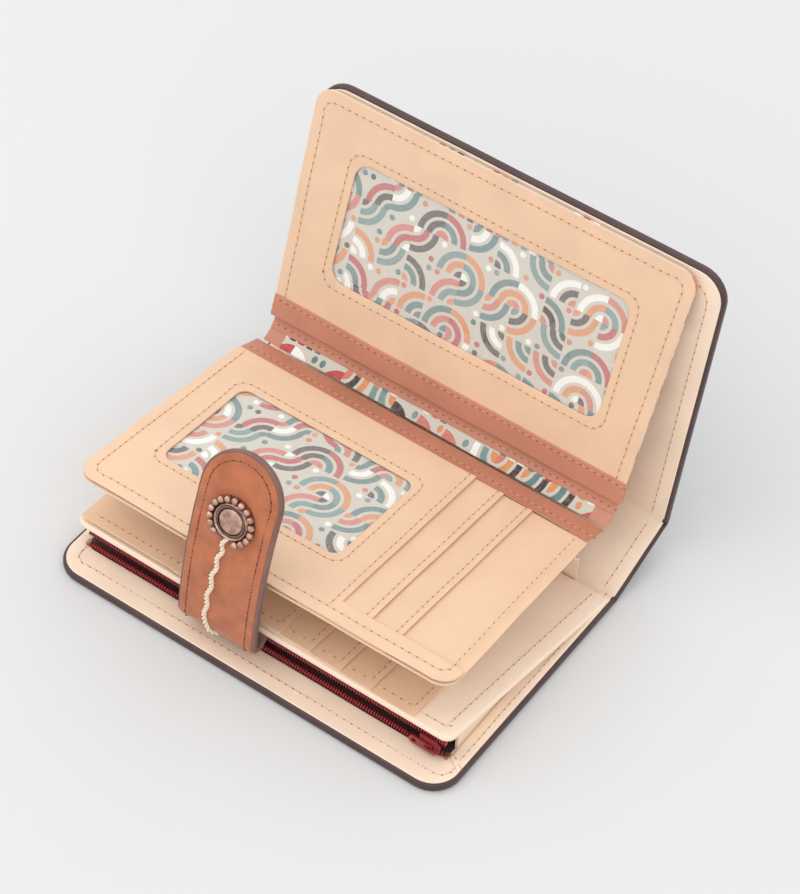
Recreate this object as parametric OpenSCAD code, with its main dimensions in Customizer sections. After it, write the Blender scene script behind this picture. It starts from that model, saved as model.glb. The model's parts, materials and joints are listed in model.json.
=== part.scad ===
// Folding wallet, stood half open on its front panel.
// The frame: X runs along the spine, +Y from the free edge of the front panel to the spine,
// +Z up. The origin is the middle of the front panel's underside.

/* [Cover] */
// Width of the cover along the spine
cover_w = 165; // [160:1:178]
// Depth of the front panel and of the back panel, free edge to fold
panel_d = 106; // [104:1:116]
// Width of the spine between its two folds
spine_w = 35; // [34:0.5:40]
// Thickness of the cover leather
leather_t = 1.4; // [1.0:0.1:1.8]
// Thickness of the stiffening boards
board_t = 1.0; // [0.6:0.1:1.4]
// Thickness of the lining leather
lining_t = 1.0; // [0.8:0.1:1.2]
// Width of the turned edge that shows round the lining
rim_w = 1.3; // [0.8:0.1:2.0]
// Radius of the cover's free corners
corner_r = 11; // [6:0.5:14]
// Angle of the spine above the table as it stands
spine_rest = 22; // [18:1:26]
// Angle of the back panel above the table as it stands
back_rest = 80; // [74:1:86]

/* [Card page] */
// Distance from the cover's left edge to the card page
page_gap_left = 2; // [1.5:0.5:6.5]
// Distance from the cover's right edge to the card page at its free edge
page_gap_right = 6; // [5.5:0.5:10.5]
// How much further right the card page reaches at its fold
page_flare = 5; // [0:0.5:6]
// Distance from the cover's free edge back to the card page's front edge
page_setback = 12.3; // [11:0.1:16]
// Angle at which the card page stands over the coin pocket
page_rest = 7; // [6:0.5:8]
// Thickness of the card page's backing leather
backing_t = 1.2; // [0.9:0.1:1.5]
// Thickness of one card pocket leather
pocket_t = 0.45; // [0.35:0.05:0.6]
// Place of the first pocket mouth along the spine
page_mouth_x = 6.5; // [0:0.5:12]
// Spacing of the pocket mouths
mouth_pitch = 12.5; // [10:0.5:13]
// How much wider the last pocket is than the pitch
mouth_extra = 5; // [0:0.5:8]
// Reach of each card pocket leather behind its mouth
pocket_reach = 58; // [50:1:62]

/* [Leaf] */
// Distance from the cover's left edge to the leaf at its free edge
leaf_gap_left = 0.5; // [0.5:0.5:6.5]
// Distance from the cover's right edge to the leaf at its free edge
leaf_gap_right = 9.5; // [6.5:0.5:12.5]
// How much narrower each side of the leaf is at its fold
leaf_taper = 2.8; // [0:0.1:4]
// Length of the leaf from its fold to its free edge
leaf_d = 90; // [88:0.5:92]
// Angle at which the leaf stands above level
leaf_rest = 6.5; // [5:0.5:8]
// Length of the leaf's window along the spine
leaf_window_w = 74; // [60:1:78]
// Height of the leaf's window
leaf_window_h = 47; // [40:1:52]
// Distance from the leaf's left edge to its window
leaf_window_inset = 18; // [12:0.5:22]
// Distance from the leaf's free edge to its window
leaf_window_front = 25; // [20:0.5:30]
// Distance from the window to the first pocket mouth of the leaf
leaf_mouth_gap = 14; // [10:0.5:18]
// Spacing of the leaf's pocket mouths
leaf_mouth_pitch = 11.8; // [9:0.2:12.4]
// Width of the band that holds the leaf's pockets along its free edge
leaf_band = 9.5; // [6:0.5:12]

/* [Window page] */
// Length of the window page from its seam to its free edge
rear_d = 93.5; // [88:0.5:94]
// Angle between the window page and the back panel
rear_rest = 8; // [6:0.5:9]
// Length of the window page's window along the spine
rear_window_w = 113; // [90:1:120]
// Height of the window page's window
rear_window_h = 48; // [40:1:52]
// Distance from the window page's left edge to its window
rear_window_inset = 22; // [14:0.5:24]
// Distance from the window page's free edge to its window
rear_window_front = 25; // [20:0.5:30]
// Height of the page's corner radius
page_corner_r = 7; // [4:0.5:9]
// Length of the cloth that hangs below the window page
apron_d = 8.4; // [6:0.2:8.6]

/* [Trim] */
// Width of the terracotta binding strips
trim_w = 9; // [7:0.5:12]
// Thickness of the binding leather
trim_t = 0.4; // [0.3:0.1:0.5]
// Length of the binding flap that swings behind the leaf
flap_l = 6.5; // [4:0.5:7]
// Angle at which the flap slopes down from the leaf
flap_rest = 15; // [5:1:25]

/* [Zip] */
// Height and depth of one row of zip teeth
teeth_w = 2.2; // [1.8:0.1:2.6]
// Spacing of the zip teeth
teeth_pitch = 1.6; // [1.2:0.1:2.4]
// Clear height of the pocket mouth between the two rows of teeth
mouth_h = 4.2; // [4.1:0.1:4.4]
// Length of the zip slider
slider_l = 8; // [7:0.5:9]
// Thickness of the slider's plates
slider_t = 0.9; // [0.7:0.1:1.2]
// Running clearance between the slider and the teeth
slider_gap = 0.3; // [0.25:0.05:0.5]
// Length of the slider's pull
pull_l = 9; // [7:0.5:9.5]

/* [Strap] */
// Width of the closing strap
strap_w = 32; // [26:0.5:36]
// Thickness of the closing strap
strap_t = 3.0; // [2.4:0.1:3.2]
// Length of the strap from its root bend to its tip
strap_l = 71; // [60:1:74]
// Place of the strap's middle along the spine
strap_x = -14; // [-30:0.5:0]
// Radius of the strap's gentle curve
strap_curve_r = 190; // [150:5:260]
// Angle of the strap's root end above the table
strap_root_angle = 85; // [80:1:88]
// Radius of the metal button
button_r = 7.1; // [6:0.1:8.5]
// Number of beads round the button
bead_count = 16; // [12:1:18]
// Radius of one bead
bead_r = 1.45; // [1.0:0.05:1.6]
// Distance from the strap's tip to the button
button_inset = 25; // [20:0.5:28]

/* [Hidden] */
$fn = 48;

plum = [0.25, 0.15, 0.15];
cream = [0.93, 0.80, 0.68];
tan = [0.90, 0.74, 0.60];
terracotta = [0.76, 0.47, 0.38];
burgundy = [0.45, 0.08, 0.10];
print_cloth = [0.72, 0.74, 0.68];
metal = [0.42, 0.36, 0.33];
clear = [0.85, 0.90, 0.90, 0.4];

eps = 0.01;
running = 0.3;
fold_socket = leather_t / 2 + 0.4;
half_w = cover_w / 2;
front_y = -panel_d / 2;
fold_y = panel_d / 2;
axis_z = leather_t / 2;
board_z = leather_t;
lining_z = leather_t + board_t;
inner_z = lining_z + lining_t;
rim_top = inner_z - 0.2;

page_x0 = -cover_w / 2 + page_gap_left;
page_x1 = cover_w / 2 - page_gap_right;
leaf_x0 = -cover_w / 2 + leaf_gap_left;
leaf_x1 = cover_w / 2 - leaf_gap_right;
page_pockets = 5;
window_lap = 4;
page_hinge_y = fold_y - 3.2;
page_rod_r = 0.5;
page_hinge_z = inner_z + 0.9;
page_d = page_hinge_y - (front_y + page_setback);
page_len = page_d / cos(page_rest);
leaf_hinge_y = fold_y - 2.4;
leaf_hinge_z = 26.9 + (spine_w - 35);
rear_axis_u = panel_d - 1.5;
rear_axis_v = inner_z - axis_z + 1.85;

film_t = 0.25;
cloth_t = 0.5;
sheet_t = 0.6;
front_t = 0.8;

zip_x0 = page_x0 + 5;
zip_x1 = page_x1 - 2.5;
zip_y = front_y + page_setback + 1.9;
tape_t = 0.5;
row_z = lining_z + tape_t;
upper_row_z = row_z + teeth_w + mouth_h;
slider_x = zip_x1 - slider_l - 1;
hem_t = 1.2;

strap_half = strap_w / 2;
bend_r = 4.5;
root_t = hem_t;

// A page outline in plan: free edge at y0 with rounded corners, fold edge at y1.
module page_plan(x0, x1, y0, y1, r, taper = 0, flare = 0) {
  polygon([[x0 + r, y0], [x1 - r, y0], [x1, y0 + r], [x1 - taper + flare, y1], [x0 + taper, y1],
    [x0, y0 + r]]);
  translate([x0 + r, y0 + r]) circle(r);
  translate([x1 - r, y0 + r]) circle(r);
}

// A box between two corners.
module block(low, high) {
  translate(low) cube(high - low);
}

// A rounded window in plan.
module window_plan(x0, x1, y0, y1, r) {
  translate([x0 + r, y0]) square([x1 - x0 - 2 * r, y1 - y0]);
  translate([x0, y0 + r]) square([x1 - x0, y1 - y0 - 2 * r]);
  for (x = [x0 + r, x1 - r], y = [y0 + r, y1 - r]) translate([x, y]) circle(r);
}

// A cylinder along X.
module rod_x(x0, x1, r) {
  translate([x0, 0, 0]) rotate([0, 90, 0]) cylinder(r = r, h = x1 - x0);
}

// Places for the pieces that stand at an angle.
module at_spine() {
  translate([0, fold_y, axis_z]) rotate([spine_rest, 0, 0]) children();
}
module at_back() {
  at_spine() translate([0, spine_w, 0]) rotate([back_rest - spine_rest, 0, 0]) children();
}
module at_rear() {
  at_back() translate([0, rear_axis_u, rear_axis_v]) rotate([-rear_rest, 0, 0]) mirror([0, 1, 0])
    children();
}
module at_page() {
  translate([0, page_hinge_y, page_hinge_z]) rotate([-page_rest, 0, 0]) children();
}
module at_leaf() {
  translate([0, leaf_hinge_y, leaf_hinge_z]) rotate([-leaf_rest, 0, 0]) children();
}

// One panel of the cover, free edge at -Y, fold axis at y = 0, outer face down.
module cover_panel() {
  difference() {
    union() {
      linear_extrude(leather_t) page_plan(-half_w, half_w, -panel_d, 0, corner_r);
      difference() {
        linear_extrude(rim_top) page_plan(-half_w, half_w, -panel_d, -2.2, corner_r);
        translate([0, 0, leather_t]) linear_extrude(rim_top) panel_inlay_plan(0);
      }
    }
    translate([0, 0, axis_z]) rod_x(-half_w - 1, half_w + 1, fold_socket);
  }
}
module panel_inlay_plan(back) {
  page_plan(-half_w + rim_w, half_w - rim_w, -panel_d + rim_w, -back, corner_r - rim_w);
}
module panel_board() {
  translate([0, 0, leather_t]) linear_extrude(board_t) panel_inlay_plan(2.2);
}
module front_place() {
  translate([0, fold_y, 0]) children();
}
module back_place() {
  at_back() translate([0, 0, -axis_z]) mirror([0, 1, 0]) children();
}

// Front panel of the cover with its turned edge.
module front_cover() {
  color(plum) front_place() cover_panel();
}
module front_board() {
  color(tan) front_place() panel_board();
}

// Lining of the front panel: it runs from the free edge to the zip and over the zip's tape.
module front_facing() {
  facing_y = zip_y - teeth_w / 2;
  tape_y = facing_y - 6;
  color(cream) difference() {
    union() {
      translate([0, 0, lining_z]) linear_extrude(lining_t) intersection() {
        translate([0, fold_y]) panel_inlay_plan(2.2);
        union() {
          translate([-half_w, front_y]) square([cover_w, tape_y - front_y]);
          translate([page_x1 + 1, front_y]) square([half_w, panel_d]);
        }
      }
      block([-half_w + rim_w + corner_r, tape_y, row_z], [page_x1 + 1, facing_y, row_z + lining_t]);
    }
  }
}

// Burgundy cloth on the floor of the coin pocket.
module coin_bag_floor() {
  color(burgundy) translate([0, 0, lining_z])
    block([-half_w + rim_w, zip_y + teeth_w / 2 + 3, 0], [page_x1 + 1, fold_y - 2.4, cloth_t]);
}

// Side wall of the coin pocket, tall at the front and low at the spine.
module coin_gusset(x) {
  y0 = zip_y + teeth_w / 2 + 4;
  y1 = page_hinge_y - 1;
  z0 = lining_z + cloth_t;
  under = page_hinge_z - backing_t / 2 - cloth_t - running;
  color(cream) translate([x, 0, 0]) rotate([90, 0, 90]) linear_extrude(1.0)
    polygon([[y0, z0], [y1, z0], [y1, max(z0 + 0.2, under + (page_hinge_y - y1) * tan(page_rest))],
      [y0, under + (page_hinge_y - y0) * tan(page_rest)]]);
}
module coin_gusset_left() {
  coin_gusset(page_x0 + 1);
}
module coin_gusset_right() {
  coin_gusset(page_x1 - 2);
}

// Tape of the zip's front half, under the edge of the facing.
module zip_tape_front() {
  color(burgundy) block([zip_x0, zip_y - teeth_w / 2 - 6, lining_z],
    [zip_x1, zip_y + teeth_w / 2 + 3, row_z]);
}

// A row of zip teeth along X: a coil's humps on a cord.
module teeth_row(x0, x1) {
  count = floor((x1 - x0) / teeth_pitch);
  hump = teeth_pitch * 0.62;
  block([x0, -teeth_w * 0.32, teeth_w * 0.12], [x1, teeth_w * 0.32, teeth_w * 0.88]);
  for (i = [0 : count - 1])
    translate([x0 + (i + 0.5) * teeth_pitch - hump / 2, -teeth_w / 2, 0]) cube([hump, teeth_w, teeth_w]);
}
module zip_teeth_front() {
  color(burgundy) translate([0, zip_y, row_z]) teeth_row(zip_x0, zip_x1);
}

// Stops at the two ends of the front row.
module zip_end_stops() {
  color(metal) for (x = [zip_x0 - 1.6, zip_x1 + 0.2])
    block([x, zip_y - teeth_w / 2, lining_z], [x + 1.4, zip_y + teeth_w / 2, row_z + teeth_w]);
}

// Strip that carries the leaf: it stands at the spine behind the card page and ends under the leaf.
module leaf_bellows() {
  wall = 0.5;
  y0 = page_hinge_y + page_rod_r + 0.35;
  y1 = leaf_hinge_y - 2.4;
  z0 = lining_z + cloth_t;
  bend_z = leaf_hinge_z - flap_l - 5;
  top_z = leaf_hinge_z - 1.65;
  color(cream) translate([leaf_x0 + leaf_taper + 4, 0, 0]) rotate([90, 0, 90])
    linear_extrude(leaf_x1 - leaf_x0 - 2 * leaf_taper - 7) polygon([[y0, z0], [y0 + wall, z0],
      [y0 + wall, bend_z], [y1 + wall, bend_z + 1.7], [y1 + wall, top_z], [y1, top_z],
      [y1, bend_z + 1.4], [y0, bend_z - 0.3]]);
}

// Backing of the card page, with a turned hem along its free edge.
module card_page_backing() {
  color(cream) at_page() difference() {
    union() {
      translate([0, 0, -backing_t / 2]) linear_extrude(backing_t)
        page_plan(page_x0, page_x1, -page_len, 0, 4, 0, page_flare);
      rod_x(page_x0, page_x1 + page_flare, page_rod_r);
      block([page_x0 + 4, -page_len + 0.2, -backing_t / 2 - hem_t], [page_x1 - 4, -page_len + 4.5, 0]);
    }
    block([strap_x - strap_half - 0.5, -page_len - 1, -backing_t / 2 - hem_t - 1],
      [strap_x + strap_half + 0.5, -page_len + 20, -backing_t / 2]);
  }
}

// Burgundy cloth under the card page: the top of the coin pocket.
module coin_bag_top() {
  color(burgundy) at_page() difference() {
    block([page_x0 + 3, -page_len + 5.5, -backing_t / 2 - cloth_t], [page_x1 - 3, -2, -backing_t / 2]);
    block([strap_x - strap_half - 0.5, -page_len - 1, -backing_t], [strap_x + strap_half + 0.5,
      -page_len + 20, 0]);
  }
}

// Tape of the zip's back half, hanging from the card page's hem.
module zip_tape_back() {
  top = page_hinge_z + (page_hinge_y - zip_y) * tan(page_rest) - (backing_t / 2 + hem_t) / cos(page_rest);
  color(burgundy) difference() {
    block([zip_x0, zip_y - tape_t / 2, upper_row_z + teeth_w], [zip_x1, zip_y + tape_t / 2, top + 1]);
    at_page() block([page_x0, -page_len - 2, -backing_t / 2 - hem_t], [page_x1, 0, 5]);
  }
}
module zip_teeth_back() {
  color(burgundy) translate([0, zip_y, upper_row_z]) teeth_row(zip_x0, zip_x1);
}

// Card pockets: each leather runs left from its mouth and lies on the one below it.
module page_pocket(k) {
  mouth_x = page_mouth_x + (k - 1) * mouth_pitch + (k == page_pockets ? mouth_extra : 0);
  left_x = k == 1 ? page_x0 + 1.5 : max(page_x0 + 1.5, mouth_x - pocket_reach);
  low = backing_t / 2 + (page_pockets - k) * pocket_t;
  color(tan) at_page() block([left_x, -page_len + 1.2, low], [mouth_x, -1.5, low + pocket_t]);
}
module card_pocket_1() {
  page_pocket(1);
}
module card_pocket_2() {
  page_pocket(2);
}
module card_pocket_3() {
  page_pocket(3);
}
module card_pocket_4() {
  page_pocket(4);
}
module card_pocket_5() {
  page_pocket(5);
}
module card_page_trim() {
  top = backing_t / 2 + page_pockets * pocket_t;
  color(terracotta) at_page() block([page_x0 + 1.5, -trim_w, top], [page_mouth_x, -1.5, top + trim_t]);
}

// The strap's root, sewn under the card page, and its bend to the front, drawn as one section.
module strap_root() {
  color(terracotta) translate([strap_x - strap_half, 0, 0]) rotate([90, 0, 90]) linear_extrude(strap_w)
    strap_root_section();
}
module page_section() {
  translate([page_hinge_y, page_hinge_z]) rotate(-page_rest) children();
}
module strap_root_section() {
  y0 = strap_base_y();
  z0 = strap_base_z();
  lip = -page_len - 0.4;
  page_section() translate([lip, -backing_t / 2 - root_t]) square([18, root_t]);
  difference() {
    intersection() {
      translate([y0 - strap_t / 2 + bend_r, z0]) circle(bend_r);
      translate([y0 - strap_t, z0 - bend_r - 1]) square([3 * bend_r, bend_r + 1]);
    }
    translate([y0 + strap_t / 2 + bend_inner(), z0 + 0.2]) circle(bend_inner());
    translate([y0, z0]) circle(strap_t / 2 + running);
    page_section() translate([lip, -backing_t / 2 - root_t / 2]) square([20, 10]);
    page_section() translate([lip + root_t, -10]) square([20, 20]);
    translate([y0 - 10, z0 - strap_t / 2 - running]) square([10, 20]);
  }
}
function bend_inner() = bend_r - (strap_t + root_t) / 2 + 0.05;
function page_front_y() = front_y + page_setback;
function page_front_z() = page_hinge_z + page_d * tan(page_rest);
function strap_base_y() = page_front_y() - bend_r + strap_t / 2 - 3.6;
function strap_base_z() = page_front_z() - 0.2;

// Slider: two plates joined by a wedge that runs between the rows of teeth, and a bail in front.
slider_front = teeth_w / 2 + slider_gap + slider_t;
slider_mid_z = (row_z + teeth_w + upper_row_z) / 2;
bail_h = 1.2;
pull_x = 5.25;
module zip_slider() {
  half = teeth_w / 2 + slider_gap;
  low = row_z + lining_t + 0.3;
  high = upper_row_z + 1.5;
  color(metal) translate([slider_x, zip_y, 0]) {
    for (s = [-1, 1]) difference() {
      block([0, s > 0 ? half : -slider_front, low], [slider_l, s > 0 ? slider_front : -half, high]);
      for (z = [low, high]) translate([slider_l, 0, z]) rotate([90, 45, 0])
        translate([-1.2, -1.2, -15]) cube([2.4, 2.4, 30]);
    }
    translate([2.4, half + eps, slider_mid_z]) rotate([90, 0, 0])
      cylinder(r = (mouth_h - 2 * slider_gap) / 2, h = 2 * half + 2 * eps);
    difference() {
      block([3, -slider_front - bail_h - 0.6, slider_mid_z - 0.6], [7.5, -slider_front + eps,
        slider_mid_z + 0.6]);
      block([4, -slider_front - bail_h, 0], [6.5, -slider_front, 30]);
    }
  }
}

// Pull: a crossbar under the bail, two arms past it and a flat tab.
module zip_pull() {
  bar = bail_h - 0.6;
  color(metal) translate([slider_x + pull_x, zip_y - slider_front - bail_h / 2, slider_mid_z]) {
    cylinder(r = bar / 2, h = 3.2, center = true);
    rotate([90, 0, 180]) linear_extrude(bar, center = true) difference() {
      union() {
        translate([0, -1.6]) square([2.8, 3.2]);
        polygon([[2.7, -1.6], [pull_l - 1.9, -1.9], [pull_l - 1.9, 1.9], [2.7, 1.6]]);
        translate([pull_l - 1.9, 0]) circle(1.9);
      }
      translate([-0.1, -0.95]) square([2.75, 1.9]);
      translate([pull_l - 2.2, 0]) circle(0.9);
    }
  }
}

// Leaf: core, back sheet, pockets, window panel.
leaf_front_z = 0.9;
leaf_win_x0 = leaf_x0 + leaf_window_inset;
leaf_win_x1 = leaf_win_x0 + leaf_window_w;
leaf_win_y0 = -leaf_d + leaf_window_front;
leaf_win_y1 = leaf_win_y0 + leaf_window_h;
leaf_mouth_x = leaf_win_x1 + leaf_mouth_gap;
module leaf_plan(inset, r) {
  page_plan(leaf_x0 + inset, leaf_x1 - inset, -leaf_d + inset, -0.8, r, leaf_taper);
}
module leaf_front() {
  color(tan) at_leaf() union() {
    translate([0, 0, leaf_front_z]) linear_extrude(front_t) difference() {
      intersection() {
        leaf_plan(0, page_corner_r);
        union() {
          translate([leaf_x0 - 1, -leaf_d - 1]) square([leaf_mouth_x - leaf_x0 + 1, leaf_d + 2]);
          translate([leaf_x0, -leaf_d - 1]) square([leaf_x1 - leaf_x0, leaf_band + 1]);
        }
      }
      window_plan(leaf_win_x0, leaf_win_x1, leaf_win_y0, leaf_win_y1, 4);
    }
    translate([0, 0, -0.1]) linear_extrude(leaf_front_z + 0.1) intersection() {
      leaf_plan(0.6, page_corner_r);
      translate([leaf_mouth_x + 2 * leaf_mouth_pitch + 0.3, -leaf_d]) square([leaf_x1, leaf_band]);
    }
  }
}
module leaf_film() {
  color(clear) at_leaf() block([leaf_win_x0 - window_lap, leaf_win_y0 - window_lap, leaf_front_z - film_t],
    [leaf_win_x1 + window_lap, leaf_win_y1 + window_lap, leaf_front_z]);
}
module leaf_window_lining() {
  low = leaf_front_z - film_t - cloth_t;
  color(print_cloth) at_leaf() block([leaf_win_x0 - window_lap, leaf_win_y0 - window_lap, low],
    [leaf_win_x1 + window_lap, leaf_win_y1 + window_lap, leaf_front_z - film_t]);
}
module leaf_pocket(k) {
  low = leaf_front_z - (k - 1) * cloth_t;
  color(tan) at_leaf() translate([0, 0, low]) linear_extrude(cloth_t) intersection() {
    leaf_plan(0.6, page_corner_r);
    translate([leaf_win_x1 + window_lap + 0.4, -leaf_d])
      square([leaf_mouth_gap - window_lap - 0.4 + (k - 1) * leaf_mouth_pitch, leaf_d - 1]);
  }
}
module leaf_pocket_2() {
  leaf_pocket(2);
}
module leaf_pocket_3() {
  leaf_pocket(3);
}
module leaf_core() {
  color(tan) at_leaf() translate([0, 0, -0.7]) linear_extrude(sheet_t) leaf_plan(0, page_corner_r);
}
module leaf_back_sheet() {
  color(cream) at_leaf() translate([0, 0, -0.7 - sheet_t]) linear_extrude(sheet_t)
    leaf_plan(0.5, page_corner_r);
}

// Binding flap behind the leaf, on its own hinge at the leaf's fold.
module leaf_flap() {
  color(terracotta) at_leaf() rotate([-flap_rest, 0, 0]) union() {
    rod_x(leaf_x0 + leaf_taper, leaf_x1 - leaf_taper, 0.45);
    block([leaf_x0 + leaf_taper, 0, -0.45], [leaf_x1 - leaf_taper, flap_l, 0.45]);
  }
}

// Spine.
module spine_cover() {
  color(plum) at_spine() union() {
    rod_x(-half_w, half_w, leather_t / 2);
    block([-half_w, 0, -leather_t / 2], [half_w, spine_w - 0.6, leather_t / 2]);
  }
}
module spine_lining() {
  color(cream) at_spine() block([-half_w + rim_w, 2.5, leather_t / 2],
    [half_w - rim_w, spine_w - 3.4, leather_t / 2 + lining_t * 0.8]);
}

// Back panel of the cover.
module back_cover() {
  color(plum) difference() {
    union() {
      back_place() cover_panel();
    }
  }
}
module back_board() {
  color(tan) back_place() panel_board();
}
module back_lining() {
  color(cream) back_place() translate([0, 0, lining_z]) linear_extrude(lining_t) panel_inlay_plan(2.2);
}

// Press stud on the outside of the back panel, where the strap's button closes.
stud_u = panel_d - 9;
module stud_cap() {
  color(metal) at_back() translate([strap_x, stud_u, -leather_t / 2]) mirror([0, 0, 1])
    rotate_extrude() polygon([[0, 0], [6.2, 0], [6.2, 0.5], [5.4, 0.9], [3.2, 1.0], [3.0, 0.9], [0, 0.9]]);
}
module stud_post() {
  color(metal) at_back() translate([strap_x, stud_u, -leather_t / 2 - 0.9]) mirror([0, 0, 1])
    rotate_extrude() polygon([[0, 0], [2.2, 0], [1.9, 0.9], [2.3, 1.6], [2.1, 2.3], [1.4, 2.6], [0, 2.6]]);
}

// Window page, hanging from its seam at the back panel's free edge.
rear_win_x0 = leaf_x0 + rear_window_inset;
rear_win_x1 = rear_win_x0 + rear_window_w;
rear_win_y1 = rear_d - rear_window_front;
rear_win_y0 = rear_win_y1 - rear_window_h;
rear_front_z = 0.2;
rear_rod_r = 0.45;
rear_back_z = rear_front_z - film_t - cloth_t - sheet_t;
module rear_plan(inset) {
  page_plan(leaf_x0 + inset, leaf_x1 - inset, inset, rear_d, page_corner_r, leaf_taper);
}
module window_page_front() {
  color(tan) at_rear() translate([0, 0, rear_front_z]) linear_extrude(front_t) difference() {
    rear_plan(0);
    window_plan(rear_win_x0, rear_win_x1, rear_win_y0, rear_win_y1, 6);
  }
}
module window_page_film() {
  color(clear) at_rear() block([rear_win_x0 - window_lap, rear_win_y0 - window_lap, rear_front_z - film_t],
    [rear_win_x1 + window_lap, rear_win_y1 + window_lap, rear_front_z]);
}
module window_page_lining() {
  color(print_cloth) at_rear() block([leaf_x0 + leaf_taper + 2, 6, rear_front_z - film_t - cloth_t],
    [leaf_x1 - leaf_taper - 2, rear_d - 0.5, rear_front_z - film_t]);
}
module window_page_back() {
  x0 = leaf_x0 + page_corner_r + 1;
  x1 = leaf_x1 - page_corner_r - 1;
  color(print_cloth) at_rear() union() {
    difference() {
      rod_x(x0, x1, rear_rod_r);
      block([x0 - 1, 0, rear_front_z], [x1 + 1, 2, rear_front_z + 2]);
    }
    block([x0, -rear_rod_r, rear_back_z - trim_t], [x1, rear_rod_r, 0]);
    block([x0, 0, rear_back_z - trim_t], [x1, 0.6, rear_back_z + sheet_t]);
    translate([0, 0, rear_back_z]) linear_extrude(sheet_t) rear_plan(0.5);
    block([x0, 0.5, rear_back_z - trim_t], [x1, 8, rear_back_z + eps]);
  }
}
// Binding folded over an edge at y = 0, for a stack between two heights.
module binding(x0, x1, low, high) {
  difference() {
    block([x0, -trim_w, low - trim_t], [x1, trim_t, high + trim_t]);
    block([x0 - 1, -trim_w - 1, low], [x1 + 1, 0, high]);
  }
}
module window_page_trim() {
  color(terracotta) at_rear() translate([0, rear_d, 0])
    binding(leaf_x0 + leaf_taper - 0.4, leaf_x1 - leaf_taper + 0.4, rear_back_z, rear_front_z + front_t);
}

// Printed cloth that hangs from the window page's free edge into the gap behind the leaf.
apron_x0 = leaf_x0 + leaf_taper + 8;
apron_x1 = leaf_x1 - leaf_taper - 8;
module apron(x0, x1) {
  at_rear() block([x0, rear_d + trim_t, rear_back_z - trim_t], [x1, rear_d + apron_d, rear_back_z + 0.1]);
}
module bill_sheet() {
  color(print_cloth) apron(apron_x0, apron_x1);
}
module bill_sheet_ends() {
  color(terracotta) union() {
    apron(leaf_x0 + leaf_taper + 1, apron_x0);
    apron(apron_x1, leaf_x1 - leaf_taper - 1);
  }
}

// Strap: an arc of a large cylinder, cut to a tongue with a round tip.
module at_strap() {
  translate([strap_x, strap_base_y(), strap_base_z()]) rotate([strap_root_angle, 0, 0]) children();
}
module strap_outline(inset) {
  translate([-strap_half + inset, -5]) square([strap_w - 2 * inset, strap_l + 5 - strap_half]);
  translate([0, strap_l - strap_half]) circle(strap_half - inset, $fn = 96);
}
// A layer of the strap between two distances from its middle; positive is the outer side.
module strap_layer(low, high, inset) {
  intersection() {
    translate([0, 0, -strap_curve_r]) rotate([0, 90, 0]) difference() {
      cylinder(r = strap_curve_r + high, h = strap_w + 2, center = true, $fn = 720);
      cylinder(r = strap_curve_r + low, h = strap_w + 4, center = true, $fn = 720);
    }
    translate([0, 0, -30]) linear_extrude(60) strap_outline(inset);
    block([-strap_w, 0, -30], [strap_w, strap_l + 5, 30]);
  }
}
strap_split = 0.2;
module strap_face() {
  color(terracotta) at_strap() union() {
    strap_layer(strap_split, strap_t / 2, 0);
    difference() {
      rod_x(-strap_half, strap_half, strap_t / 2);
      block([-strap_w, -strap_t, -strap_t], [strap_w, strap_t, strap_split]);
    }
  }
}
module strap_lining() {
  color(plum) at_strap() union() {
    strap_layer(-strap_t / 2, strap_split, 0);
    difference() {
      rod_x(-strap_half, strap_half, strap_t / 2);
      block([-strap_w, -strap_t, strap_split], [strap_w, strap_t, strap_t]);
    }
  }
}

// The strap's surface at a distance along it, outer side towards +Z.
button_s = strap_l - button_inset;
module on_strap(s, lift) {
  turn = asin(s / strap_curve_r);
  at_strap() translate([0, 0, -strap_curve_r]) rotate([-turn, 0, 0])
    translate([0, 0, strap_curve_r + lift]) children();
}
button_lift = strap_t / 2 + 0.05;
flange_t = 0.3;
bead_ring_r = button_r + 1.5;
module button_cap() {
  color(metal) on_strap(button_s, button_lift) rotate_extrude($fn = 64) polygon([[0, 0],
    [button_r + 2.2, 0], [button_r + 2.2, flange_t], [button_r, flange_t], [button_r - 0.2, 1.5],
    [button_r - 0.8, 2.1], [button_r - 1.5, 1.9], [button_r - 2.0, 1.3], [button_r - 2.4, 1.5],
    [button_r - 3.4, 2.1], [0, 2.5]]);
}
module button_beads() {
  gap_turn = 250;
  step = 360 / (bead_count + 2.5);
  color(metal) on_strap(button_s, button_lift) for (i = [0 : bead_count - 1])
    rotate([0, 0, gap_turn + 1.75 * step + i * step])
      translate([bead_ring_r, 0, flange_t + bead_r + 0.02]) sphere(bead_r, $fn = 20);
}
module button_socket() {
  color(metal) on_strap(button_s, -strap_t / 2 - 0.1) mirror([0, 0, 1]) rotate_extrude() polygon([[2.9, 0],
    [5.8, 0], [5.6, 0.9], [4.6, 1.3], [3.2, 1.3], [2.9, 0.9]]);
}

// Twisted cord that runs from the button to the strap's root.
cord_r = 0.75;
module strap_cord() {
  color(cream) intersection() {
    at_strap() translate([0, 0, -strap_curve_r]) rotate([0, 90, 0])
      rotate_extrude(angle = 360, $fn = 360) translate([strap_curve_r + strap_t / 2 + cord_r + 0.05, 0])
        circle(cord_r, $fn = 16);
    at_strap() block([-3, 1.5, -30], [3, button_s - button_r - 2.4, 30]);
  }
}

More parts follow.
